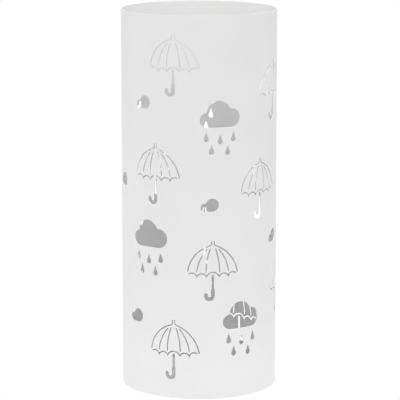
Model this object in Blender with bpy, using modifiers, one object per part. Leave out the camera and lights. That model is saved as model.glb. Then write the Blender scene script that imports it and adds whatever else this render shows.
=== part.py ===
"""Umbrella stand: a laser-cut steel sheet rolled into a tube, with a base, floor pads and a drip tray.

Run it in Blender 4.5, or with blender --background --python part.py. Lengths are metres and +Z is up.
The stand faces -Y. Places on the wall are millimetres round it from the front and up from the floor.
"""

from math import asin, atan2, cos, floor, hypot, pi, radians, sin, tau

import bmesh
import bpy
from mathutils import Vector

MM = 0.001

# The rolled sheet, in millimetres.
RADIUS = 100.0
HEIGHT = 490.0
SHEET = 0.8
WALL_BOTTOM = 0.5
FACETS = 52
SEAM_ANGLE = tau / FACETS - pi / 2

# The gap between pieces that touch, in millimetres.
GAP = 0.3

# The base plate and the pads under it, in millimetres.
PAD_RADIUS = 9.0
PAD_HEIGHT = 3.0
PAD_CIRCLE = 68.0
BASE_SHEET = 1.0
BASE_BOTTOM = PAD_HEIGHT + GAP
BASE_RADIUS = RADIUS - SHEET - GAP
BASE_FLANGE = 10.0
BASE_BEND = 2.5

# The drip tray, in millimetres.
TRAY_WALL = 1.6
TRAY_HEIGHT = 18.0
TRAY_RIM_RADIUS = 96.5
TRAY_RIM_BEAD = 1.1
TRAY_FLOOR_RADIUS = 94.0
TRAY_CORNER = 3.0
TRAY_BOTTOM = BASE_BOTTOM + BASE_SHEET + GAP

# The weld bead inside the seam, in millimetres.
BEAD_WIDTH = 3.0
BEAD_HEIGHT = 0.6
BEAD_BACK = RADIUS - SHEET - 0.4
BEAD_END_CLEARANCE = 2.0

# The umbrella motif, in millimetres from its pole and from the middle of its hem.
FERRULE_X = 1.6
FERRULE_TOP = 40.2
FERRULE_FOOT = 35.8
FERRULE_WIDTH = 1.5
CANOPY_WIDTH = 1.7
RIB_WIDTH = 1.6
HEM_WIDTH = 1.7
POLE_WIDTH = 3.0
GRIP_WIDTH = 4.8
CANOPY_LEFT = ((-3.4, 34.3), (-21.1, 24.0), (-32.0, 1.5))
CANOPY_RIGHT = ((3.4, 34.4), (21.1, 22.8), (33.1, -1.4))
OUTER_RIB = ((7.9, 29.4), (15.2, 18.5), (20.5, 1.2))
INNER_RIB = ((3.4, 30.1), (6.9, 18.3), (8.6, 0.8))
HEM_VALLEYS = (-20.6, -8.4, 8.4, 20.6)
HEM_VALLEY_DROP = 5.9
HEM_END = (30.2, -1.8)
HEM_PEAKS = ((-14.6, -1.5), (0.0, 0.0), (14.6, -1.5))
HEM_END_PEAK = (26.6, -0.7)
POLE_TOP = -4.5
GRIP_TOP = -20.5
GRIP_BEND_RADIUS = 4.45
GRIP_BEND_HEIGHT = -30.35
GRIP_TIP = -28.9

# The cloud motifs, as circles (across, up, radius) in millimetres from the left end of the flat base.
RAIN_CLOUD = ((9.5, 9.5, 9.5), (24.3, 18.5, 15.6), (40.7, 12.1, 12.1))
SMALL_CLOUD = ((4.3, 4.3, 4.3), (4.5, 6.4, 4.4), (15.0, 8.6, 8.6))
DROP_TIPS = ((8.0, -4.9), (25.9, -8.0), (43.6, -5.2), (14.8, -21.0), (35.8, -22.0))
DROP_LENGTH = 13.3
DROP_RADIUS = 3.45

# Where the motifs sit as (round, up, size): the front ones, then the ones behind them, in millimetres.
UMBRELLAS = (
    (-33.0, 425.5, 1.0),
    (-58.0, 287.0, 1.0),
    (88.5, 265.5, 1.0),
    (17.6, 165.5, 1.0),
    (120.0, 389.0, 1.0),
    (-33.0, 61.8, 1.0),
    (146.0, 131.0, 1.0),
    (256.6, 427.2, 1.0),
    (231.6, 290.4, 1.0),
    (377.6, 269.2, 1.0),
    (306.9, 170.4, 1.0),
    (412.6, 388.4, 1.0),
    (256.6, 68.0, 1.0),
    (435.6, 136.4, 1.0),
)
RAIN_CLOUDS = (
    (0.9, 350.0, 1.0),
    (-95.8, 194.0, 1.03),
    (30.6, 90.0, 1.03),
    (290.2, 351.5, 1.0),
    (193.8, 198.8, 1.03),
    (320.2, 96.5, 1.03),
)
SMALL_CLOUDS = (
    (-90.0, 370.4, 1.0),
    (1.8, 243.2, 1.0),
    (-104.5, 92.9, 1.03),
    (-140.3, 265.4, 1.0),
    (110.2, 192.3, 1.0),
    (199.6, 373.0, 1.0),
    (291.8, 247.4, 1.0),
    (185.5, 99.3, 1.03),
    (149.3, 269.3, 1.0),
    (398.2, 194.5, 1.0),
)

COATED_STEEL = ("powder_coat_white", (0.86, 0.86, 0.855), 0.0, 0.42)
TRAY_PLASTIC = ("tray_plastic", (0.80, 0.80, 0.79), 0.0, 0.35)
PAD_FOAM = ("pad_foam", (0.03, 0.03, 0.032), 0.0, 0.85)


# ---------------------------------------------------------------- outlines


def arc(centre, radius, start, end, steps):
    """Points on a circle from one angle to another, both ends included."""
    turns = [start + (end - start) * i / steps for i in range(steps + 1)]
    return [Vector((centre[0] + radius * cos(a), centre[1] + radius * sin(a))) for a in turns]


def arc_through(start, middle, end, steps):
    """Points on the circle through three points, from the first to the last."""
    start = Vector(start)
    to_middle = Vector(middle) - start
    to_end = Vector(end) - start
    scale = 2 * to_middle.cross(to_end)
    across = to_end.y * to_middle.length_squared - to_middle.y * to_end.length_squared
    up = to_middle.x * to_end.length_squared - to_end.x * to_middle.length_squared
    centre = start + Vector((across, up)) / scale
    spoke = start - centre
    turn = -2 * asin(to_end.length / 2 / spoke.length)
    if scale > 0:
        turn = -turn
    first = atan2(spoke.y, spoke.x)
    return arc(centre, spoke.length, first, first + turn, steps)


def slot(centre_line, widths, cap_steps=2):
    """Outline of a round-ended slot along a centre line that has a width at each point."""
    left = []
    right = []
    last = len(centre_line) - 1
    for i, point in enumerate(centre_line):
        before = (point - centre_line[max(i - 1, 0)]).normalized()
        after = (centre_line[min(i + 1, last)] - point).normalized()
        along = (before + after).normalized()
        stretch = max(along.dot(after if i == 0 else before), 0.62)
        side = along.orthogonal() * widths[i] / 2 / stretch
        left.append(point + side)
        right.append(point - side)
    end_cap = cap_between(left[-1], right[-1], cap_steps)
    start_cap = cap_between(right[0], left[0], cap_steps)
    return left + end_cap + right[::-1] + start_cap


def cap_between(start, end, steps):
    """The inner points of the half circle that rounds a slot's end."""
    centre = (start + end) / 2
    spoke = start - centre
    first = atan2(spoke.y, spoke.x)
    return arc(centre, spoke.length, first, first - pi, steps)[1:-1]


def mirrored(points):
    return [Vector((-point[0], point[1])) for point in points]


def canopy_slot(edge, side):
    """One side of the ferrule and the canopy edge below it, as a single slot."""
    ferrule_x = side * FERRULE_X
    line = [Vector((ferrule_x, FERRULE_TOP)), Vector((ferrule_x, FERRULE_FOOT))]
    line += arc_through(*edge, steps=4)
    widths = [FERRULE_WIDTH] * 2 + [CANOPY_WIDTH] * (len(line) - 2)
    return slot(line, widths)


def hem_slot():
    """The scalloped lower edge of the canopy, from end to end."""
    valleys = [(x, -HEM_VALLEY_DROP) for x in HEM_VALLEYS]
    end_scallop = arc_through(valleys[-1], HEM_END_PEAK, HEM_END, 3)
    line = mirrored(end_scallop)[::-1]
    for start, peak, end in zip(valleys, HEM_PEAKS, valleys[1:]):
        line += arc_through(start, peak, end, 3)[1:]
    line += end_scallop[1:]
    return slot(line, [HEM_WIDTH] * len(line))


def handle_slot():
    """The pole below the hem, which widens into the hooked grip."""
    line = [Vector((0, POLE_TOP)), Vector((0, GRIP_TOP)), Vector((0, GRIP_TOP - 1))]
    bend_centre = (-GRIP_BEND_RADIUS, GRIP_BEND_HEIGHT)
    line += arc(bend_centre, GRIP_BEND_RADIUS, 0, -pi, 4)
    line.append(Vector((-2 * GRIP_BEND_RADIUS, GRIP_TIP)))
    widths = [POLE_WIDTH] * 2 + [GRIP_WIDTH] * (len(line) - 2)
    return slot(line, widths)


def umbrella():
    """All the slots of one umbrella."""
    ribs = []
    for rib in (OUTER_RIB, INNER_RIB):
        line = arc_through(*rib, steps=2)
        ribs += [line, mirrored(line)]
    slots = [slot(line, [RIB_WIDTH] * len(line)) for line in ribs]
    slots.append(canopy_slot(CANOPY_LEFT, -1))
    slots.append(canopy_slot(CANOPY_RIGHT, 1))
    return slots + [hem_slot(), handle_slot()]


def cloud(circles, steps):
    """Outline of overlapping circles that stand on one flat base, clockwise from the lower left."""
    outline = []
    start = -pi / 2
    for i, (x, y, radius) in enumerate(circles):
        if i + 1 < len(circles):
            meeting = upper_crossing(circles[i], circles[i + 1])
            end = atan2(meeting.y - y, meeting.x - x)
        else:
            end = -pi / 2
        while end > start:
            end -= tau
        outline += arc((x, y), radius, start, end, steps)
        if i + 1 < len(circles):
            outline.pop()
            next_x, next_y, _ = circles[i + 1]
            start = atan2(meeting.y - next_y, meeting.x - next_x)
    return outline


def upper_crossing(circle, other):
    """The higher of the two points where two circles cross."""
    x, y, radius = circle
    other_x, other_y, other_radius = other
    apart = hypot(other_x - x, other_y - y)
    along = (apart**2 + radius**2 - other_radius**2) / (2 * apart)
    away = (radius**2 - along**2) ** 0.5
    unit = Vector((other_x - x, other_y - y)) / apart
    return Vector((x, y)) + unit * along + Vector((-unit.y, unit.x)) * away


def drop(tip, steps=5):
    """A rain drop: a circle with two straight sides that meet at the tip."""
    to_centre = DROP_LENGTH - DROP_RADIUS
    centre = (tip[0], tip[1] - to_centre)
    lean = asin(DROP_RADIUS / to_centre)
    return [Vector(tip)] + arc(centre, DROP_RADIUS, pi - lean, tau + lean, steps)


def rain_cloud():
    return [cloud(RAIN_CLOUD, steps=5)] + [drop(tip) for tip in DROP_TIPS]


def pattern():
    """Outlines of every cut-out, on the flat sheet."""
    outlines = []
    for motif, places in (
        (umbrella(), UMBRELLAS),
        (rain_cloud(), RAIN_CLOUDS),
        ([cloud(SMALL_CLOUD, steps=5)], SMALL_CLOUDS),
    ):
        for x, z, size in places:
            shift = Vector((x, z - WALL_BOTTOM))
            outlines += [[point * size + shift for point in outline] for outline in motif]
    return outlines


# ---------------------------------------------------------------- the rolled sheet


def filled_mesh(name, outlines, extrude=0.0):
    """Closed outlines filled as one flat shape, with the inner ones as holes."""
    curve = bpy.data.curves.new(name, "CURVE")
    curve.dimensions = "2D"
    curve.fill_mode = "BOTH"
    curve.extrude = extrude
    for outline in outlines:
        spline = curve.splines.new("POLY")
        spline.points.add(len(outline) - 1)
        for place, (x, y) in zip(spline.points, outline):
            place.co = (x, y, 0, 1)
        spline.use_cyclic_u = True
    carrier = bpy.data.objects.new(name, curve)
    mesh = bpy.data.meshes.new_from_object(carrier)
    bpy.data.objects.remove(carrier)
    bpy.data.curves.remove(curve)
    mesh.name = name
    return mesh


def flat_blank(outlines):
    """The flat sheet as a mesh, in millimetres, with its cut-outs."""
    left = SEAM_ANGLE * RADIUS
    right = left + tau * RADIUS
    top = HEIGHT - WALL_BOTTOM
    border = [(left, 0), (right, 0), (right, top), (left, top)]
    return filled_mesh("body_shell", [border] + outlines)


def score(bm, point, normal):
    """Cuts the faces along a line, so that they can bend there."""
    everything = bm.verts[:] + bm.edges[:] + bm.faces[:]
    bmesh.ops.bisect_plane(bm, geom=everything, dist=0.001, plane_co=point, plane_no=normal)


def rolled(flat):
    """Where a point of the flat sheet lands on the faceted tube, in metres."""
    facet_angle = tau / FACETS
    turns = (flat.x / RADIUS - SEAM_ANGLE) / facet_angle
    facet = min(floor(turns + 1e-6), FACETS - 1)
    along = turns - facet
    corners = [SEAM_ANGLE + facet_angle * (facet + i) for i in (0, 1)]
    start, end = [Vector((RADIUS * sin(a), -RADIUS * cos(a), 0)) for a in corners]
    return (start.lerp(end, along) + Vector((0, 0, WALL_BOTTOM + flat.y))) * MM


def body_shell_mesh():
    """The rolled sheet's outer face."""
    mesh = flat_blank(pattern())
    bm = bmesh.new()
    bm.from_mesh(mesh)
    bmesh.ops.remove_doubles(bm, verts=bm.verts, dist=0.005)
    for i in range(1, FACETS):
        x = RADIUS * (SEAM_ANGLE + tau * i / FACETS)
        score(bm, (x, 0, 0), (1, 0, 0))
    for vert in bm.verts:
        vert.co = rolled(vert.co)
    bmesh.ops.remove_doubles(bm, verts=bm.verts, dist=0.005 * MM)
    bmesh.ops.dissolve_limit(bm, angle_limit=radians(1), verts=bm.verts, edges=bm.edges)
    bmesh.ops.triangulate(bm, faces=bm.faces, quad_method="BEAUTY", ngon_method="BEAUTY")
    bmesh.ops.recalc_face_normals(bm, faces=bm.faces)
    middle = max(bm.faces, key=lambda face: face.calc_center_median().x)
    if middle.normal.x < 0:
        bmesh.ops.reverse_faces(bm, faces=bm.faces)
    bm.to_mesh(mesh)
    bm.free()
    return mesh


# ---------------------------------------------------------------- scene helpers


def clear_scene():
    for obj in list(bpy.data.objects):
        bpy.data.objects.remove(obj)


def material(spec):
    """The Principled material of one coating or plastic, made once."""
    name, colour, metallic, roughness = spec
    found = bpy.data.materials.get(name)
    if found:
        return found
    made = bpy.data.materials.new(name)
    made.use_nodes = True
    shader = made.node_tree.nodes["Principled BSDF"]
    shader.inputs["Base Color"].default_value = (*colour, 1)
    shader.inputs["Metallic"].default_value = metallic
    shader.inputs["Roughness"].default_value = roughness
    made.diffuse_color = (*colour, 1)
    return made


def add_piece(name, mesh, spec, root, location=(0, 0, 0)):
    """Puts a mesh in the stand's collection under its own name."""
    piece = bpy.data.objects.new(name, mesh)
    mesh.materials.append(material(spec))
    mesh.shade_smooth()
    mesh.set_sharp_from_angle(angle=radians(30))
    root.users_collection[0].objects.link(piece)
    piece.parent = root
    piece.location = location
    return piece


def turned_mesh(name, profile):
    """A profile of (radius, height) in millimetres, ready for a Screw modifier round Z."""
    mesh = bpy.data.meshes.new(name)
    points = [(radius * MM, 0, z * MM) for radius, z in profile]
    bm = bmesh.new()
    verts = [bm.verts.new(point) for point in points]
    for pair in zip(verts, verts[1:]):
        bm.edges.new(pair)
    bm.to_mesh(mesh)
    bm.free()
    return mesh


def turn(piece):
    """Sweeps the piece's profile round Z."""
    screw = piece.modifiers.new("turn", "SCREW")
    screw.axis = "Z"
    screw.angle = tau
    screw.steps = FACETS
    screw.render_steps = FACETS
    screw.use_merge_vertices = True
    screw.merge_threshold = 0.00001


# ---------------------------------------------------------------- pieces


def add_body_shell(root):
    shell = add_piece("body_shell", body_shell_mesh(), COATED_STEEL, root)
    thickness = shell.modifiers.new("sheet", "SOLIDIFY")
    thickness.thickness = SHEET * MM
    thickness.offset = -1
    thickness.use_even_offset = True
    return shell


def add_seam_weld(root):
    """A low bead down the inside of the seam, between the base flange and the rim."""
    bottom = BASE_BOTTOM + BASE_FLANGE + BEAD_END_CLEARANCE
    top = HEIGHT - BEAD_END_CLEARANCE
    half = BEAD_WIDTH / 2
    face = arc_through((-half, 0), (0, BEAD_HEIGHT), (half, 0), 6)
    outline = [point * MM for point in face]
    mesh = filled_mesh("seam_weld", [outline], extrude=(top - bottom) / 2 * MM)
    bm = bmesh.new()
    bm.from_mesh(mesh)
    bmesh.ops.remove_doubles(bm, verts=bm.verts, dist=0.005 * MM)
    bmesh.ops.recalc_face_normals(bm, faces=bm.faces)
    bm.to_mesh(mesh)
    bm.free()
    reach = BEAD_BACK * MM
    place = (reach * sin(SEAM_ANGLE), -reach * cos(SEAM_ANGLE), (top + bottom) / 2 * MM)
    weld = add_piece("seam_weld", mesh, COATED_STEEL, root, place)
    weld.rotation_euler.z = SEAM_ANGLE
    return weld


def add_base_plate(root):
    """A pressed disc with an upturned flange, set inside the foot of the tube."""
    bend_inside = BASE_BEND - BASE_SHEET
    inside_corner = arc((BASE_RADIUS - BASE_BEND, BASE_BEND), bend_inside, -pi / 2, 0, 3)
    outside_corner = arc((BASE_RADIUS - BASE_BEND, BASE_BEND), BASE_BEND, 0, -pi / 2, 3)
    profile = [(0, BASE_SHEET)]
    profile += [tuple(point) for point in inside_corner]
    profile += [(BASE_RADIUS - BASE_SHEET, BASE_FLANGE), (BASE_RADIUS, BASE_FLANGE)]
    profile += [tuple(point) for point in outside_corner]
    profile.append((0, 0))
    place = (0, 0, BASE_BOTTOM * MM)
    plate = add_piece("base_plate", turned_mesh("base_plate", profile), COATED_STEEL, root, place)
    turn(plate)
    return plate


def add_floor_pads(root):
    """Four soft discs under the base plate, which lift the steel edge off the floor."""
    for i, name in enumerate(("right_rear", "left_rear", "left_front", "right_front")):
        angle = radians(45 + 90 * i)
        mesh = bpy.data.meshes.new(f"floor_pad_{name}")
        bm = bmesh.new()
        bmesh.ops.create_cone(
            bm,
            cap_ends=True,
            segments=24,
            radius1=PAD_RADIUS * MM,
            radius2=PAD_RADIUS * MM,
            depth=PAD_HEIGHT * MM,
        )
        bm.to_mesh(mesh)
        bm.free()
        reach = PAD_CIRCLE * MM
        place = (reach * cos(angle), reach * sin(angle), PAD_HEIGHT / 2 * MM)
        pad = add_piece(f"floor_pad_{name}", mesh, PAD_FOAM, root, place)
        edge = pad.modifiers.new("edge", "BEVEL")
        edge.width = 0.4 * MM
        edge.segments = 2
        edge.limit_method = "ANGLE"


def add_drip_tray(root):
    """A shallow lift-out pan with a slight draft and a thickened rim."""
    corner_inside = TRAY_CORNER - TRAY_WALL
    corner = (TRAY_FLOOR_RADIUS - TRAY_CORNER, TRAY_CORNER)
    rim_centre = (TRAY_RIM_RADIUS - TRAY_RIM_BEAD, TRAY_HEIGHT - TRAY_RIM_BEAD)
    profile = [(0, TRAY_WALL)]
    profile += [tuple(point) for point in arc(corner, corner_inside, -pi / 2, 0, 3)]
    profile += [tuple(point) for point in arc(rim_centre, TRAY_RIM_BEAD, pi, -pi / 4, 6)]
    profile.append((rim_centre[0] - TRAY_RIM_BEAD + TRAY_WALL, rim_centre[1] - 2 * TRAY_RIM_BEAD))
    profile += [tuple(point) for point in arc(corner, TRAY_CORNER, 0, -pi / 2, 3)]
    profile.append((0, 0))
    place = (0, 0, TRAY_BOTTOM * MM)
    tray = add_piece("drip_tray", turned_mesh("drip_tray", profile), TRAY_PLASTIC, root, place)
    turn(tray)
    return tray


def main():
    clear_scene()
    collection = bpy.data.collections.new("umbrella_stand")
    bpy.context.scene.collection.children.link(collection)
    root = bpy.data.objects.new("umbrella_stand", None)
    root.empty_display_size = 0.05
    collection.objects.link(root)
    add_body_shell(root)
    add_seam_weld(root)
    add_base_plate(root)
    add_floor_pads(root)
    add_drip_tray(root)


main()
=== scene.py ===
"""Looks of the umbrella stand: fine sheet-metal work, powder coat, drip tray, pads, light and camera.

Lengths are metres unless a comment says millimetres. The stand faces -Y. Places on the wall are
millimetres round it from the front and up from the floor, as in the CAD model.
"""

from math import asin, atan2, cos, hypot, pi, radians, sin, tau

import bmesh
import bpy
import numpy as np
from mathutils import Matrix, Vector
from mathutils.geometry import delaunay_2d_cdt


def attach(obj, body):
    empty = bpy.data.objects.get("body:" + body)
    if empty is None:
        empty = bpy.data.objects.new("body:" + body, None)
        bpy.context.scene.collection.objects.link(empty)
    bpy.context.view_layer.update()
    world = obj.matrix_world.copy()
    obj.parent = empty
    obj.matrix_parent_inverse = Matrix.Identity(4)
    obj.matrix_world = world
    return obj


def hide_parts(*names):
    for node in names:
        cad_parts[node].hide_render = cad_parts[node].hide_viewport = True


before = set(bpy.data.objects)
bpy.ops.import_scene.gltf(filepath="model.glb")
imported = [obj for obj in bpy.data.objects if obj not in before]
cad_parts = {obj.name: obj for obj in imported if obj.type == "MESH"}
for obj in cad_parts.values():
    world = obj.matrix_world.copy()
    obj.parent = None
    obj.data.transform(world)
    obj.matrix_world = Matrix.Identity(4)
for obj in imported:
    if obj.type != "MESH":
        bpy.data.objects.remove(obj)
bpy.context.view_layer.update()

MM = 0.001

# The rolled sheet, in millimetres.
RADIUS = 100.0
HEIGHT = 490.0
SHEET = 0.8
WALL_BOTTOM = 0.5
CAD_FACETS = 52
SEAM_ANGLE = tau / CAD_FACETS - pi / 2
FACETS = 156
EDGE_ROUND = 0.15
EDGE_STEPS = 2

# The pads, the base plate and the drip tray, in millimetres: the CAD sizes, with finer rounding.
GAP = 0.3
PAD_RADIUS = 9.0
PAD_HEIGHT = 3.0
PAD_CIRCLE = 68.0
PAD_EDGE = 0.5
BASE_SHEET = 1.0
BASE_BOTTOM = PAD_HEIGHT + GAP
BASE_RADIUS = RADIUS - SHEET - GAP
BASE_FLANGE = 10.0
BASE_BEND = 2.5
TRAY_WALL = 1.6
TRAY_HEIGHT = 18.0
TRAY_RIM_RADIUS = 96.5
TRAY_RIM_BEAD = 1.1
TRAY_FLOOR_RADIUS = 94.0
TRAY_CORNER = 3.0
TRAY_BOTTOM = BASE_BOTTOM + BASE_SHEET + GAP

# The weld bead down the inside of the seam, in millimetres.
BEAD_WIDTH = 3.0
BEAD_HEIGHT = 0.8
BEAD_BACK = RADIUS - SHEET + 0.05
BEAD_END_CLEARANCE = 2.0
BEAD_RIPPLE = 1.6
BEAD_RIPPLE_DEPTH = 0.12

# The umbrella motif, in millimetres from its pole and from the middle of its hem.
FERRULE_X = 1.6
FERRULE_TOP = 40.2
FERRULE_FOOT = 35.8
FERRULE_WIDTH = 1.5
CANOPY_WIDTH = 1.7
RIB_WIDTH = 1.6
HEM_WIDTH = 1.7
POLE_WIDTH = 3.0
GRIP_WIDTH = 4.8
CANOPY_LEFT = ((-3.4, 34.3), (-21.1, 24.0), (-32.0, 1.5))
CANOPY_RIGHT = ((3.4, 34.4), (21.1, 22.8), (33.1, -1.4))
OUTER_RIB = ((7.9, 29.4), (15.2, 18.5), (20.5, 1.2))
INNER_RIB = ((3.4, 30.1), (6.9, 18.3), (8.6, 0.8))
HEM_VALLEYS = (-20.6, -8.4, 8.4, 20.6)
HEM_VALLEY_DROP = 5.9
HEM_END = (30.2, -1.8)
HEM_PEAKS = ((-14.6, -1.5), (0.0, 0.0), (14.6, -1.5))
HEM_END_PEAK = (26.6, -0.7)
POLE_TOP = -4.5
GRIP_TOP = -20.5
GRIP_BEND_RADIUS = 4.45
GRIP_BEND_HEIGHT = -30.35
GRIP_TIP = -28.9

# The cloud motifs, as circles (across, up, radius) in millimetres from the left end of the flat base.
RAIN_CLOUD = ((9.5, 9.5, 9.5), (24.3, 18.5, 15.6), (40.7, 12.1, 12.1))
SMALL_CLOUD = ((4.3, 4.3, 4.3), (4.5, 6.4, 4.4), (15.0, 8.6, 8.6))
DROP_TIPS = ((8.0, -4.9), (25.9, -8.0), (43.6, -5.2), (14.8, -21.0), (35.8, -22.0))
DROP_LENGTH = 13.3
DROP_RADIUS = 3.45

# Where the motifs sit as (round, up, size): the front ones, then the ones behind them, in millimetres.
UMBRELLAS = (
    (-33.0, 425.5, 1.0),
    (-58.0, 287.0, 1.0),
    (88.5, 265.5, 1.0),
    (17.6, 165.5, 1.0),
    (120.0, 389.0, 1.0),
    (-33.0, 61.8, 1.0),
    (146.0, 131.0, 1.0),
    (256.6, 427.2, 1.0),
    (231.6, 290.4, 1.0),
    (377.6, 269.2, 1.0),
    (306.9, 170.4, 1.0),
    (412.6, 388.4, 1.0),
    (256.6, 68.0, 1.0),
    (435.6, 136.4, 1.0),
)
RAIN_CLOUDS = (
    (0.9, 350.0, 1.0),
    (-95.8, 194.0, 1.03),
    (30.6, 90.0, 1.03),
    (290.2, 351.5, 1.0),
    (193.8, 198.8, 1.03),
    (320.2, 96.5, 1.03),
)
SMALL_CLOUDS = (
    (-90.0, 370.4, 1.0),
    (1.8, 243.2, 1.0),
    (-104.5, 92.9, 1.03),
    (-140.3, 265.4, 1.0),
    (110.2, 192.3, 1.0),
    (199.6, 373.0, 1.0),
    (291.8, 247.4, 1.0),
    (185.5, 99.3, 1.03),
    (149.3, 269.3, 1.0),
    (398.2, 194.5, 1.0),
)

# Light: softboxes as (name, watts, place, width, height), the sky all round and the floor's bright pool,
# which is painted light: the floor itself glows there, with no lamp behind it.
SOFTBOXES = (
    ("front", 12.5, (0.0, -2.4, 1.9), 1.8, 0.3),
    ("left", 3.3, (-2.0, 0.3, 0.7), 1.4, 1.3),
    ("right", 2.1, (2.0, 0.3, 0.7), 1.4, 1.3),
    ("top", 42.5, (0.0, 0.0, 2.8), 2.0, 2.0),
)
LIGHT_TARGET = (0.0, 0.0, 0.3)
WORLD_STRENGTH = 0.78
FLOOR_ALBEDO = 0.35
PAINTED_POOL_RADIUS = 1.5
PAINTED_POOL_GLOW = 0.42

# Camera: it looks along +Y and a little down, from in front of the stand and above its rim.
CAMERA_DISTANCE = 2.783
CAMERA_HEIGHT = 0.7668
CAMERA_PITCH = 0.1871
CAMERA_LENS = 196.0
CAMERA_SIDE = 0.0012


# ---------------------------------------------------------------- outlines


def arc(centre, radius, start, end, steps):
    """Points on a circle from one angle to another, both ends included."""
    turns = [start + (end - start) * i / steps for i in range(steps + 1)]
    return [Vector((centre[0] + radius * cos(a), centre[1] + radius * sin(a))) for a in turns]


def arc_through(start, middle, end, steps):
    """Points on the circle through three points, from the first to the last."""
    start = Vector(start)
    to_middle = Vector(middle) - start
    to_end = Vector(end) - start
    scale = 2 * to_middle.cross(to_end)
    across = to_end.y * to_middle.length_squared - to_middle.y * to_end.length_squared
    up = to_middle.x * to_end.length_squared - to_end.x * to_middle.length_squared
    centre = start + Vector((across, up)) / scale
    spoke = start - centre
    turn = -2 * asin(to_end.length / 2 / spoke.length)
    if scale > 0:
        turn = -turn
    first = atan2(spoke.y, spoke.x)
    return arc(centre, spoke.length, first, first + turn, steps)


def slot(centre_line, widths, cap_steps=8):
    """Outline of a round-ended slot along a centre line that has a width at each point."""
    left = []
    right = []
    last = len(centre_line) - 1
    for i, point in enumerate(centre_line):
        before = (point - centre_line[max(i - 1, 0)]).normalized()
        after = (centre_line[min(i + 1, last)] - point).normalized()
        along = (before + after).normalized()
        stretch = max(along.dot(after if i == 0 else before), 0.62)
        side = along.orthogonal() * (widths[i] / 2 + EDGE_ROUND) / stretch
        left.append(point + side)
        right.append(point - side)
    end_cap = cap_between(left[-1], right[-1], cap_steps)
    start_cap = cap_between(right[0], left[0], cap_steps)
    return left + end_cap + right[::-1] + start_cap


def cap_between(start, end, steps):
    """The inner points of the half circle that rounds a slot's end."""
    centre = (start + end) / 2
    spoke = start - centre
    first = atan2(spoke.y, spoke.x)
    return arc(centre, spoke.length, first, first - pi, steps)[1:-1]


def mirrored(points):
    return [Vector((-point[0], point[1])) for point in points]


def canopy_slot(edge, side):
    """One side of the ferrule and the canopy edge below it, as a single slot."""
    ferrule_x = side * FERRULE_X
    line = [Vector((ferrule_x, FERRULE_TOP)), Vector((ferrule_x, FERRULE_FOOT))]
    line += arc_through(*edge, steps=16)
    widths = [FERRULE_WIDTH] * 2 + [CANOPY_WIDTH] * (len(line) - 2)
    return slot(line, widths)


def hem_slot():
    """The scalloped lower edge of the canopy, from end to end."""
    valleys = [(x, -HEM_VALLEY_DROP) for x in HEM_VALLEYS]
    end_scallop = arc_through(valleys[-1], HEM_END_PEAK, HEM_END, 9)
    line = mirrored(end_scallop)[::-1]
    for start, peak, end in zip(valleys, HEM_PEAKS, valleys[1:]):
        line += arc_through(start, peak, end, 10)[1:]
    line += end_scallop[1:]
    return slot(line, [HEM_WIDTH] * len(line))


def handle_slot():
    """The pole below the hem, which widens into the hooked grip."""
    line = [Vector((0, POLE_TOP)), Vector((0, GRIP_TOP)), Vector((0, GRIP_TOP - 1))]
    bend_centre = (-GRIP_BEND_RADIUS, GRIP_BEND_HEIGHT)
    line += arc(bend_centre, GRIP_BEND_RADIUS, 0, -pi, 14)
    line.append(Vector((-2 * GRIP_BEND_RADIUS, GRIP_TIP)))
    widths = [POLE_WIDTH] * 2 + [GRIP_WIDTH] * (len(line) - 2)
    return slot(line, widths)


def umbrella():
    """All the slots of one umbrella."""
    ribs = []
    for rib in (OUTER_RIB, INNER_RIB):
        line = arc_through(*rib, steps=8)
        ribs += [line, mirrored(line)]
    slots = [slot(line, [RIB_WIDTH] * len(line)) for line in ribs]
    slots.append(canopy_slot(CANOPY_LEFT, -1))
    slots.append(canopy_slot(CANOPY_RIGHT, 1))
    return slots + [hem_slot(), handle_slot()]


def cloud(circles, steps=18):
    """Outline of overlapping circles that stand on one flat base, clockwise from the lower left."""
    outline = []
    start = -pi / 2
    for i, (x, y, radius) in enumerate(circles):
        if i + 1 < len(circles):
            meeting = upper_crossing(circles[i], circles[i + 1])
            end = atan2(meeting.y - y, meeting.x - x)
        else:
            end = -pi / 2
        while end > start:
            end -= tau
        outline += arc((x, y), radius, start, end, steps)
        if i + 1 < len(circles):
            outline.pop()
            next_x, next_y, _ = circles[i + 1]
            start = atan2(meeting.y - next_y, meeting.x - next_x)
    return outline


def upper_crossing(circle, other):
    """The higher of the two points where two circles cross."""
    x, y, radius = circle
    other_x, other_y, other_radius = other
    apart = hypot(other_x - x, other_y - y)
    along = (apart**2 + radius**2 - other_radius**2) / (2 * apart)
    away = (radius**2 - along**2) ** 0.5
    unit = Vector((other_x - x, other_y - y)) / apart
    return Vector((x, y)) + unit * along + Vector((-unit.y, unit.x)) * away


def drop(tip, steps=18):
    """A rain drop: a circle with two straight sides that meet at the tip."""
    to_centre = DROP_LENGTH - DROP_RADIUS
    centre = (tip[0], tip[1] - to_centre)
    lean = asin(DROP_RADIUS / to_centre)
    return [Vector(tip)] + arc(centre, DROP_RADIUS, pi - lean, tau + lean, steps)


def rain_cloud():
    return [cloud(RAIN_CLOUD)] + [drop(tip) for tip in DROP_TIPS]


def pattern():
    """Outlines of every cut-out, on the flat sheet."""
    outlines = []
    for motif, places in (
        (umbrella(), UMBRELLAS),
        (rain_cloud(), RAIN_CLOUDS),
        ([cloud(SMALL_CLOUD)], SMALL_CLOUDS),
    ):
        for x, z, size in places:
            shift = Vector((x, z - WALL_BOTTOM))
            outlines += [[point * size + shift for point in outline] for outline in motif]
    return outlines


# ---------------------------------------------------------------- the rolled sheet


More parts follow.
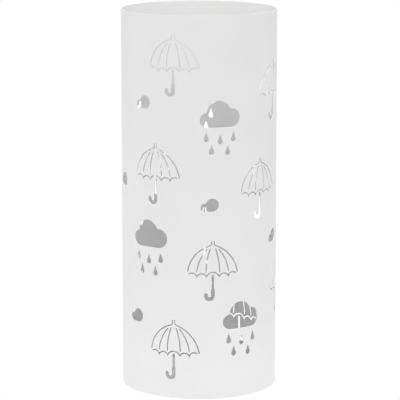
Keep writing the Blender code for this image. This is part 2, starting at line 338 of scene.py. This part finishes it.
def flat_sheet(outlines):
    """The outer face of the flat sheet, in millimetres, scored where the tube bends it."""
    left = SEAM_ANGLE * RADIUS
    right = left + tau * RADIUS
    top = HEIGHT - WALL_BOTTOM - EDGE_ROUND
    border = [(left, EDGE_ROUND), (right, EDGE_ROUND), (right, top), (left, top)]
    corners = []
    loops = []
    for outline in [border] + outlines:
        loops.append(list(range(len(corners), len(corners) + len(outline))))
        corners += anticlockwise([Vector(point) for point in outline])
    placed, _, triangles, _, _, sources = delaunay_2d_cdt(corners, [], loops, 1, 0.001)
    metal = [corner for corner, source in zip(triangles, sources) if source == [0]]
    mesh = bpy.data.meshes.new("flat_sheet")
    mesh.from_pydata([(x, y, 0) for x, y in placed], [], metal)
    bm = bmesh.new()
    bm.from_mesh(mesh)
    bpy.data.meshes.remove(mesh)
    drop_scraps(bm)
    bmesh.ops.delete(bm, geom=[vert for vert in bm.verts if not vert.link_faces], context="VERTS")
    for i in range(1, FACETS):
        score(bm, (RADIUS * (SEAM_ANGLE + tau * i / FACETS), 0, 0), (1, 0, 0))
    for face in bm.faces:
        if face.normal.z < 0:
            face.normal_flip()
    return bm


def anticlockwise(outline):
    """The same outline, turned round if it runs clockwise."""
    turn = sum(point.cross(following) for point, following in zip(outline[-1:] + outline, outline))
    return outline if turn > 0 else outline[::-1]


def drop_scraps(bm):
    """Keeps the largest patch of faces, and drops the specks left where an outline crosses itself."""
    unseen = set(bm.faces)
    patches = []
    while unseen:
        patch = [unseen.pop()]
        for face in patch:
            near = {other for edge in face.edges for other in edge.link_faces} & unseen
            unseen -= near
            patch += near
        patches.append(patch)
    patches.sort(key=len)
    scraps = [face for patch in patches[:-1] for face in patch]
    bmesh.ops.delete(bm, geom=scraps, context="FACES")


def score(bm, point, normal):
    """Cuts the faces along a line, so that they can bend there."""
    everything = bm.verts[:] + bm.edges[:] + bm.faces[:]
    bmesh.ops.bisect_plane(bm, geom=everything, dist=0.0005, plane_co=point, plane_no=normal)


def edge_rings():
    """Steps across a cut edge: how far out of the metal, how deep, and which way the surface faces."""
    rings = []
    for i in range(1, EDGE_STEPS + 1):
        turn = pi / 2 * i / EDGE_STEPS
        rings.append((EDGE_ROUND * sin(turn), EDGE_ROUND * (1 - cos(turn)), sin(turn), cos(turn)))
    for i in range(EDGE_STEPS, 0, -1):
        turn = pi / 2 * i / EDGE_STEPS
        depth = SHEET - EDGE_ROUND * (1 - cos(turn))
        rings.append((EDGE_ROUND * sin(turn), depth, sin(turn), -cos(turn)))
    return rings


def cut_edges(bm):
    """The free edges of the sheet as (first vertex, second vertex), with the metal on their left."""
    left = SEAM_ANGLE * RADIUS + 0.01
    right = left + tau * RADIUS - 0.02
    found = []
    for edge in bm.edges:
        if not edge.is_boundary:
            continue
        loop = edge.link_loops[0]
        start, end = loop.vert, loop.link_loop_next.vert
        on_seam = max(start.co.x, end.co.x) < left or min(start.co.x, end.co.x) > right
        if not on_seam:
            found.append((start, end))
    return found


def ways_out(edges):
    """For each vertex of the free edges, the way out of the metal, long enough to keep corners true."""
    sides = {}
    for start, end in edges:
        along = (end.co - start.co).normalized()
        side = Vector((along.y, -along.x))
        for vert in (start, end):
            sides.setdefault(vert.index, []).append(side)
    out = {}
    for index, pair in sides.items():
        middle = sum(pair, Vector((0, 0))).normalized()
        out[index] = middle / max(middle.dot(pair[0]), 0.5)
    return out


def thick_sheet(bm):
    """Points (round, up, depth), directions and faces of the sheet with both faces and rounded edges."""
    bm.verts.index_update()
    count = len(bm.verts)
    points = [(v.co.x, v.co.y, 0.0) for v in bm.verts] + [(v.co.x, v.co.y, SHEET) for v in bm.verts]
    facing = [(0.0, 0.0, 1.0)] * count + [(0.0, 0.0, -1.0)] * count
    faces = [[v.index for v in face.verts] for face in bm.faces]
    faces += [[i + count for i in reversed(face)] for face in faces]
    edges = cut_edges(bm)
    out = ways_out(edges)
    rings = edge_rings()
    ladders = {}
    for vert in {vert for edge in edges for vert in edge}:
        way = out[vert.index]
        level = way.normalized()
        ladder = [vert.index]
        for reach, depth, sideways, outward in rings:
            ladder.append(len(points))
            points.append((vert.co.x + way.x * reach, vert.co.y + way.y * reach, depth))
            facing.append((level.x * sideways, level.y * sideways, outward))
        ladder.append(vert.index + count)
        ladders[vert.index] = ladder
    for start, end in edges:
        first, second = ladders[start.index], ladders[end.index]
        for i in range(len(first) - 1):
            faces.append([second[i], first[i], first[i + 1], second[i + 1]])
    return np.array(points), np.array(facing), faces


def roll(points, facing):
    """Bends flat points and the ways they face into the rolled tube, in metres."""
    around, height, depth = points.T
    angle = around / RADIUS
    outward = np.stack([np.sin(angle), -np.cos(angle)], 1)
    sideways = np.stack([np.cos(angle), np.sin(angle)], 1)
    level = outward * (RADIUS - depth)[:, None]
    placed = np.column_stack([level, height + WALL_BOTTOM]) * MM
    level_facing = outward * facing[:, 2:] + sideways * facing[:, :1]
    return placed, np.column_stack([level_facing, facing[:, 1]])


def close_seam(points, faces):
    """Joins the sheet's two ends, by using the left end's points for the right end's as well."""
    left = SEAM_ANGLE * RADIUS
    at_left = np.flatnonzero(np.abs(points[:, 0] - left) < 0.01)
    at_right = np.flatnonzero(np.abs(points[:, 0] - left - tau * RADIUS) < 0.01)
    keys = {tuple(np.round(points[i, 1:], 2)): i for i in at_left}
    merged = {int(i): int(keys[tuple(np.round(points[i, 1:], 2))]) for i in at_right}
    return [[merged.get(i, i) for i in face] for face in faces]


def body_shell_mesh():
    """The tube's mesh, with its exact surface directions as custom normals."""
    bm = flat_sheet(pattern())
    points, facing, faces = thick_sheet(bm)
    bm.free()
    faces = close_seam(points, faces)
    placed, directions = roll(points, facing)
    used = np.unique(np.concatenate([np.array(face) for face in faces]))
    renumber = np.zeros(len(placed), int)
    renumber[used] = np.arange(len(used))
    faces = [renumber[face].tolist() for face in faces]
    mesh = bpy.data.meshes.new("body_shell_fine")
    mesh.from_pydata(placed[used].tolist(), [], faces)
    mesh.shade_smooth()
    mesh.normals_split_custom_set_from_vertices(directions[used].tolist())
    return mesh


# ---------------------------------------------------------------- turned pieces and the weld


def turned_mesh(name, profile, steps=FACETS):
    """A closed profile of (radius, height) in millimetres, from axis to axis, swept round Z."""
    points = []
    rings = []
    for radius, height in profile:
        count = 1 if radius < 0.001 else steps
        rings.append([len(points) + i for i in range(count)])
        for i in range(count):
            angle = tau * i / steps
            points.append((radius * cos(angle) * MM, radius * sin(angle) * MM, height * MM))
    faces = []
    for lower, upper in zip(rings, rings[1:]):
        for i in range(steps):
            j = (i + 1) % steps
            corners = [lower[i % len(lower)], lower[j % len(lower)]]
            corners += [upper[j % len(upper)], upper[i % len(upper)]]
            faces.append(list(dict.fromkeys(corners)))
    mesh = bpy.data.meshes.new(name)
    mesh.from_pydata(points, [], faces)
    return finished(mesh)


def finished(mesh):
    """The mesh with its faces turned outwards, and smooth except at sharp corners."""
    bm = bmesh.new()
    bm.from_mesh(mesh)
    bmesh.ops.recalc_face_normals(bm, faces=bm.faces)
    bm.to_mesh(mesh)
    bm.free()
    mesh.shade_smooth()
    mesh.set_sharp_from_angle(angle=radians(35))
    return mesh


def arc_pairs(centre, radius, start, end, steps):
    return [tuple(point) for point in arc(centre, radius, start, end, steps)]


def base_plate_mesh():
    """The pressed disc with its upturned flange, whose edge is rounded by the coat."""
    corner = (BASE_RADIUS - BASE_BEND, BASE_BEND)
    edge = BASE_SHEET / 2
    profile = [(0, BASE_SHEET)]
    profile += arc_pairs(corner, BASE_BEND - BASE_SHEET, -pi / 2, 0, 8)
    profile += arc_pairs((BASE_RADIUS - edge, BASE_FLANGE - edge), edge, pi, 0, 8)
    profile += arc_pairs(corner, BASE_BEND, 0, -pi / 2, 10)
    profile.append((0, 0))
    return turned_mesh("base_plate_fine", [(r, z + BASE_BOTTOM) for r, z in profile])


def drip_tray_mesh():
    """The lift-out pan, with a slight draft and a thickened rim."""
    corner = (TRAY_FLOOR_RADIUS - TRAY_CORNER, TRAY_CORNER)
    rim = (TRAY_RIM_RADIUS - TRAY_RIM_BEAD, TRAY_HEIGHT - TRAY_RIM_BEAD)
    profile = [(0, TRAY_WALL)]
    profile += arc_pairs(corner, TRAY_CORNER - TRAY_WALL, -pi / 2, 0, 8)
    profile += arc_pairs(rim, TRAY_RIM_BEAD, pi, -pi / 4, 14)
    profile.append((rim[0] - TRAY_RIM_BEAD + TRAY_WALL, rim[1] - 2 * TRAY_RIM_BEAD))
    profile += arc_pairs(corner, TRAY_CORNER, 0, -pi / 2, 10)
    profile.append((0, 0))
    return turned_mesh("drip_tray_fine", [(r, z + TRAY_BOTTOM) for r, z in profile])


def floor_pad_mesh(name):
    """A foam disc with softened edges, round its own middle."""
    profile = [(0, PAD_HEIGHT)]
    profile += arc_pairs((PAD_RADIUS - PAD_EDGE, PAD_HEIGHT - PAD_EDGE), PAD_EDGE, pi / 2, 0, 5)
    profile += arc_pairs((PAD_RADIUS - PAD_EDGE, PAD_EDGE), PAD_EDGE, 0, -pi / 2, 5)
    profile.append((0, 0))
    return turned_mesh(name, profile, steps=64)


def seam_weld_mesh():
    """The rippled bead down the inside of the seam, its back just inside the sheet."""
    bottom = BASE_BOTTOM + BASE_FLANGE + BEAD_END_CLEARANCE
    top = HEIGHT - BEAD_END_CLEARANCE
    rows = int((top - bottom) / BEAD_RIPPLE * 6)
    face = arc_through((-BEAD_WIDTH / 2, 0), (0, BEAD_HEIGHT), (BEAD_WIDTH / 2, 0), 8)
    points = []
    for row in range(rows + 1):
        height = bottom + (top - bottom) * row / rows
        ripple = BEAD_RIPPLE_DEPTH * abs(sin(pi * (height - bottom) / BEAD_RIPPLE))
        to_end = min(height - bottom, top - height)
        taper = min(1, (to_end / BEAD_WIDTH) ** 0.5)
        for across, rise in face:
            reach = BEAD_BACK - rise * taper * (1 - ripple)
            angle = SEAM_ANGLE + across * taper / RADIUS
            points.append((reach * sin(angle) * MM, -reach * cos(angle) * MM, height * MM))
    width = len(face)
    faces = []
    for row in range(rows):
        first = row * width
        ring = [(i, (i + 1) % width) for i in range(width)]
        faces += [[first + i, first + j, first + width + j, first + width + i] for i, j in ring]
    faces.append(list(range(width)))
    faces.append([rows * width + i for i in range(width)][::-1])
    mesh = bpy.data.meshes.new("seam_weld_fine")
    mesh.from_pydata(points, [], faces)
    bm = bmesh.new()
    bm.from_mesh(mesh)
    bmesh.ops.remove_doubles(bm, verts=bm.verts, dist=0.001 * MM)
    bm.to_mesh(mesh)
    bm.free()
    return finished(mesh)


# ---------------------------------------------------------------- materials


def new_material(name, colour, roughness):
    made = bpy.data.materials.new(name)
    made.use_nodes = True
    shader = made.node_tree.nodes["Principled BSDF"]
    shader.inputs["Base Color"].default_value = (*colour, 1)
    shader.inputs["Roughness"].default_value = roughness
    return made, made.node_tree, shader


def noise(tree, scale, detail, roughness=0.5):
    """A noise texture in the object's own metres."""
    texture = tree.nodes.new("ShaderNodeTexNoise")
    texture.inputs["Scale"].default_value = scale
    texture.inputs["Detail"].default_value = detail
    texture.inputs["Roughness"].default_value = roughness
    place = tree.nodes.new("ShaderNodeTexCoord")
    tree.links.new(place.outputs["Object"], texture.inputs["Vector"])
    return texture


def vary_colour(tree, shader, texture, dark, light):
    """Lets a texture move the colour between two close tones."""
    ramp = tree.nodes.new("ShaderNodeValToRGB")
    ramp.color_ramp.elements[0].position = 0.3
    ramp.color_ramp.elements[0].color = (*dark, 1)
    ramp.color_ramp.elements[1].position = 0.7
    ramp.color_ramp.elements[1].color = (*light, 1)
    tree.links.new(texture.outputs["Fac"], ramp.inputs["Fac"])
    tree.links.new(ramp.outputs["Color"], shader.inputs["Base Color"])


def vary_roughness(tree, shader, texture, low, high):
    spread = tree.nodes.new("ShaderNodeMapRange")
    spread.inputs["From Min"].default_value = 0.3
    spread.inputs["From Max"].default_value = 0.7
    spread.inputs["To Min"].default_value = low
    spread.inputs["To Max"].default_value = high
    tree.links.new(texture.outputs["Fac"], spread.inputs["Value"])
    tree.links.new(spread.outputs["Result"], shader.inputs["Roughness"])


def add_bump(tree, shader, height, depth, strength=1.0):
    """A bump whose height runs from 0 to the given depth, in metres."""
    bump = tree.nodes.new("ShaderNodeBump")
    bump.inputs["Strength"].default_value = strength
    bump.inputs["Distance"].default_value = depth
    before = shader.inputs["Normal"].links
    if before:
        tree.links.new(before[0].from_socket, bump.inputs["Normal"])
    tree.links.new(height, bump.inputs["Height"])
    tree.links.new(bump.outputs["Normal"], shader.inputs["Normal"])


def powder_coat():
    """Satin white powder coat: a shallow orange peel with finer grain in it."""
    material, tree, shader = new_material("powder_coat_white", (0.88, 0.88, 0.88), 0.42)
    patches = noise(tree, 14.0, 3.0)
    vary_colour(tree, shader, patches, (0.868, 0.868, 0.866), (0.892, 0.892, 0.891))
    vary_roughness(tree, shader, noise(tree, 90.0, 4.0), 0.37, 0.48)
    peel = noise(tree, 620.0, 1.5)
    grain = noise(tree, 3200.0, 2.0)
    add_bump(tree, shader, peel.outputs["Fac"], 0.00006)
    add_bump(tree, shader, grain.outputs["Fac"], 0.000012)
    return material


def tray_plastic():
    """Moulded white polypropylene with a fine sparked texture and faint rings from the mould."""
    material, tree, shader = new_material("tray_plastic", (0.8, 0.8, 0.79), 0.35)
    shader.inputs["Subsurface Weight"].default_value = 0.08
    shader.inputs["Subsurface Radius"].default_value = (0.002, 0.002, 0.002)
    vary_colour(tree, shader, noise(tree, 22.0, 2.0), (0.785, 0.785, 0.775), (0.81, 0.81, 0.80))
    vary_roughness(tree, shader, noise(tree, 160.0, 3.0), 0.3, 0.4)
    rings = tree.nodes.new("ShaderNodeTexWave")
    rings.wave_type = "RINGS"
    rings.rings_direction = "Z"
    rings.inputs["Scale"].default_value = 110.0
    rings.inputs["Distortion"].default_value = 0.4
    place = tree.nodes.new("ShaderNodeTexCoord")
    tree.links.new(place.outputs["Object"], rings.inputs["Vector"])
    add_bump(tree, shader, rings.outputs["Fac"], 0.000006)
    add_bump(tree, shader, noise(tree, 2400.0, 2.0).outputs["Fac"], 0.00002)
    return material


def pad_foam():
    """Dark closed-cell foam."""
    material, tree, shader = new_material("pad_foam", (0.03, 0.03, 0.032), 0.85)
    vary_colour(tree, shader, noise(tree, 300.0, 3.0), (0.022, 0.022, 0.024), (0.042, 0.042, 0.044))
    cells = tree.nodes.new("ShaderNodeTexVoronoi")
    cells.inputs["Scale"].default_value = 1400.0
    place = tree.nodes.new("ShaderNodeTexCoord")
    tree.links.new(place.outputs["Object"], cells.inputs["Vector"])
    add_bump(tree, shader, cells.outputs["Distance"], 0.00018)
    return material


# ---------------------------------------------------------------- pieces


def add_piece(name, mesh, material, body, node, location=(0, 0, 0)):
    """Puts a mesh on its body, in place of the CAD node that it stands for."""
    piece = bpy.data.objects.new(name, mesh)
    mesh.materials.clear()
    mesh.materials.append(material)
    piece.location = location
    bpy.context.scene.collection.objects.link(piece)
    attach(piece, body)
    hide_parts(node)
    return piece


def add_floor_pads(foam):
    for i, name in enumerate(("right_rear", "left_rear", "left_front", "right_front")):
        angle = radians(45 + 90 * i)
        place = (PAD_CIRCLE * cos(angle) * MM, PAD_CIRCLE * sin(angle) * MM, 0)
        mesh = floor_pad_mesh(f"floor_pad_{name}_fine")
        node = f"floor_pad_{name}"
        add_piece(f"{node}_fine", mesh, foam, "stand", node, place)


# ---------------------------------------------------------------- light and camera


def floor_material():
    """Pure white to the camera and in reflections; to other rays, a pale matt table with a painted pool of
    light, which glows from the floor itself round the stand.
    """
    material, tree, shader = new_material("floor_white", (FLOOR_ALBEDO,) * 3, 0.9)
    nodes = tree.nodes
    shader.inputs["Emission Color"].default_value = (1, 1, 1, 1)
    distance = nodes.new("ShaderNodeVectorMath")
    distance.operation = "LENGTH"
    pool = nodes.new("ShaderNodeMapRange")
    pool.interpolation_type = "SMOOTHSTEP"
    pool.inputs["From Min"].default_value = PAINTED_POOL_RADIUS
    pool.inputs["From Max"].default_value = 0.0
    pool.inputs["To Max"].default_value = PAINTED_POOL_GLOW
    tree.links.new(nodes.new("ShaderNodeNewGeometry").outputs["Position"], distance.inputs[0])
    tree.links.new(distance.outputs["Value"], pool.inputs["Value"])
    # Painted light: the floor emits a glow round the stand, strongest under it and fading out to the
    # pool's edge.
    tree.links.new(pool.outputs["Result"], shader.inputs["Emission Strength"])
    white = nodes.new("ShaderNodeEmission")
    mix = nodes.new("ShaderNodeMixShader")
    rays = nodes.new("ShaderNodeLightPath")
    seen = nodes.new("ShaderNodeMath")
    seen.operation = "MAXIMUM"
    tree.links.new(rays.outputs["Is Camera Ray"], seen.inputs[0])
    tree.links.new(rays.outputs["Is Glossy Ray"], seen.inputs[1])
    tree.links.new(seen.outputs["Value"], mix.inputs["Fac"])
    tree.links.new(shader.outputs["BSDF"], mix.inputs[1])
    tree.links.new(white.outputs["Emission"], mix.inputs[2])
    tree.links.new(mix.outputs["Shader"], nodes["Material Output"].inputs["Surface"])
    return material


def add_floor():
    mesh = bpy.data.meshes.new("floor")
    bm = bmesh.new()
    bmesh.ops.create_grid(bm, x_segments=1, y_segments=1, size=20)
    bm.to_mesh(mesh)
    bm.free()
    floor = bpy.data.objects.new("floor", mesh)
    bpy.context.scene.collection.objects.link(floor)
    mesh.materials.append(floor_material())


def add_softbox(name, power, location, width, height):
    """A rectangular softbox, in watts and metres, that points at the stand."""
    data = bpy.data.lights.new(name, "AREA")
    data.energy = power
    data.shape = "RECTANGLE"
    data.size = width
    data.size_y = height
    light = bpy.data.objects.new(name, data)
    light.location = location
    aim = Vector(LIGHT_TARGET) - Vector(location)
    light.rotation_euler = aim.to_track_quat("-Z", "Y").to_euler()
    light.visible_camera = False
    bpy.context.scene.collection.objects.link(light)


def add_world():
    """An even sky, which the camera itself sees as white beyond the floor's far edge."""
    world = bpy.data.worlds.new("studio")
    bpy.context.scene.world = world
    world.use_nodes = True
    nodes = world.node_tree.nodes
    background = nodes["Background"]
    background.inputs["Color"].default_value = (1, 1, 1, 1)
    background.inputs["Strength"].default_value = WORLD_STRENGTH
    white = nodes.new("ShaderNodeBackground")
    white.inputs["Color"].default_value = (1, 1, 1, 1)
    mix = nodes.new("ShaderNodeMixShader")
    links = world.node_tree.links
    links.new(nodes.new("ShaderNodeLightPath").outputs["Is Camera Ray"], mix.inputs["Fac"])
    links.new(background.outputs["Background"], mix.inputs[1])
    links.new(white.outputs["Background"], mix.inputs[2])
    links.new(mix.outputs["Shader"], nodes["World Output"].inputs["Surface"])


def add_camera():
    data = bpy.data.cameras.new("camera")
    data.lens = CAMERA_LENS
    data.sensor_width = 36.0
    data.clip_end = 50
    camera = bpy.data.objects.new("camera", data)
    camera.location = (CAMERA_SIDE, -CAMERA_DISTANCE, CAMERA_HEIGHT)
    camera.rotation_euler = (pi / 2 - CAMERA_PITCH, 0, 0)
    bpy.context.scene.collection.objects.link(camera)
    bpy.context.scene.camera = camera


def main():
    coat = powder_coat()
    for node, mesh in (
        ("body_shell", body_shell_mesh()),
        ("seam_weld", seam_weld_mesh()),
        ("base_plate", base_plate_mesh()),
    ):
        add_piece(f"{node}_fine", mesh, coat, "stand", node)
    tray = drip_tray_mesh()
    add_piece("drip_tray_fine", tray, tray_plastic(), "tray", "drip_tray")
    add_floor_pads(pad_foam())
    add_floor()
    add_world()
    for softbox in SOFTBOXES:
        add_softbox(*softbox)
    add_camera()
    bpy.context.scene.view_settings.view_transform = "Standard"


main()
